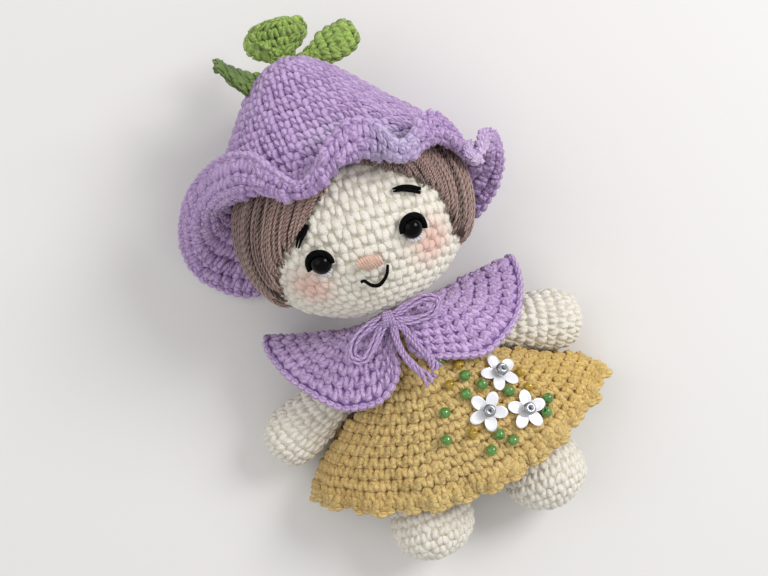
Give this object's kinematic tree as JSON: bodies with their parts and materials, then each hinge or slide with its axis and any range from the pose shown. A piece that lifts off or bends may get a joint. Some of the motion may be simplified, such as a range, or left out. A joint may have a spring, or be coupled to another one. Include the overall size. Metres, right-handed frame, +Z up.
{
  "type": "crocheted doll",
  "caption": "Crocheted soft doll lying on its back in a wavy bell hat with leaves, a collar with a tied bow and a beaded flared dress.",
  "frame": {"origin": "middle of the underside of the lying doll's bounding box", "axes": "+X to the viewer's right, +Y from the feet to the hat's leaves, +Z up out of the doll's front"},
  "size_m": [0.1306, 0.2132, 0.0852],
  "materials": {
    "cream_yarn": "matte crochet",
    "hair_yarn": "soft sheen",
    "lilac_yarn": "matte crochet",
    "leaf_yarn": "soft sheen crochet",
    "dress_yarn": "matte crochet",
    "black_yarn": "matte",
    "white_yarn": "matte",
    "peach_yarn": "matte",
    "stuffing": "loose fibre",
    "black_plastic": "gloss",
    "white_plastic": "matte",
    "pearl_white": "pearl gloss",
    "silver_bead": "silver lined",
    "green_glass": "gloss",
    "amber_glass": "gloss"
  },
  "bodies": {
    "body": {"torso": "cream_yarn", "dress": "dress_yarn", "collar": "lilac_yarn", "bow_knot": "lilac_yarn", "bow_loop_left": "lilac_yarn", "bow_loop_right": "lilac_yarn", "bow_tail_left": "lilac_yarn", "bow_tail_right": "lilac_yarn", "green_bead_01": "green_glass", "green_bead_02": "green_glass", "green_bead_03": "green_glass", "green_bead_04": "green_glass", "green_bead_05": "green_glass", "green_bead_06": "green_glass", "green_bead_07": "green_glass", "green_bead_08": "green_glass", "green_bead_09": "green_glass", "green_bead_10": "green_glass", "green_bead_11": "green_glass", "green_bead_12": "green_glass", "amber_bead_01": "amber_glass", "amber_bead_02": "amber_glass", "amber_bead_03": "amber_glass", "amber_bead_04": "amber_glass", "amber_bead_05": "amber_glass", "sequin_1": "pearl_white", "sequin_2": "pearl_white", "sequin_3": "pearl_white", "sequin_bead_1": "silver_bead", "sequin_bead_2": "silver_bead", "sequin_bead_3": "silver_bead"},
    "head": {"head_skin": "cream_yarn", "head_stuffing": "stuffing", "eye_left": "black_plastic", "eye_right": "black_plastic", "washer_left": "white_plastic", "washer_right": "white_plastic", "lash_left": "black_yarn", "lash_right": "black_yarn", "eye_white_left": "white_yarn", "eye_white_right": "white_yarn", "brow_left": "black_yarn", "brow_right": "black_yarn", "mouth": "black_yarn", "nose": "peach_yarn", "hair_left": "hair_yarn", "hair_right": "hair_yarn", "hair_back": "hair_yarn"},
    "hat": {"hat": "lilac_yarn", "calyx_base": "leaf_yarn", "leaf_left": "leaf_yarn", "leaf_centre": "leaf_yarn", "leaf_right": "leaf_yarn", "leaf_back_left": "leaf_yarn", "leaf_back": "leaf_yarn"},
    "arm_left": {"arm_left": "cream_yarn"},
    "arm_right": {"arm_right": "cream_yarn"},
    "leg_left": {"leg_left": "cream_yarn"},
    "leg_right": {"leg_right": "cream_yarn"}
  },
  "joints": [
    {"name": "head_turn", "type": "hinge", "parent": "body", "child": "head", "pos_m": [0.0005, 0.02341, 0.0395], "axis": [0.1219, 0.9925, 0], "range_deg": [-12, 12]},
    {"name": "hat_lift", "type": "slide", "parent": "head", "child": "hat", "axis": [0.1219, 0.9925, 0], "range_m": [0, 0.045]},
    {"name": "arm_left_lift", "type": "hinge", "parent": "body", "child": "arm_left", "pos_m": [-0.019, -0.02909, 0.02], "axis": [0, 0, 1], "range_deg": [-12, 0]},
    {"name": "arm_right_lift", "type": "hinge", "parent": "body", "child": "arm_right", "pos_m": [0.019, -0.02909, 0.02], "axis": [0, 0, 1], "range_deg": [0, 12]},
    {"name": "leg_left_swing", "type": "hinge", "parent": "body", "child": "leg_left", "pos_m": [-0.019, -0.06559, 0.0163], "axis": [0, 0, 1], "range_deg": [-8, 8]},
    {"name": "leg_right_swing", "type": "hinge", "parent": "body", "child": "leg_right", "pos_m": [0.027, -0.06559, 0.0163], "axis": [0, 0, 1], "range_deg": [-8, 8]}
  ]
}
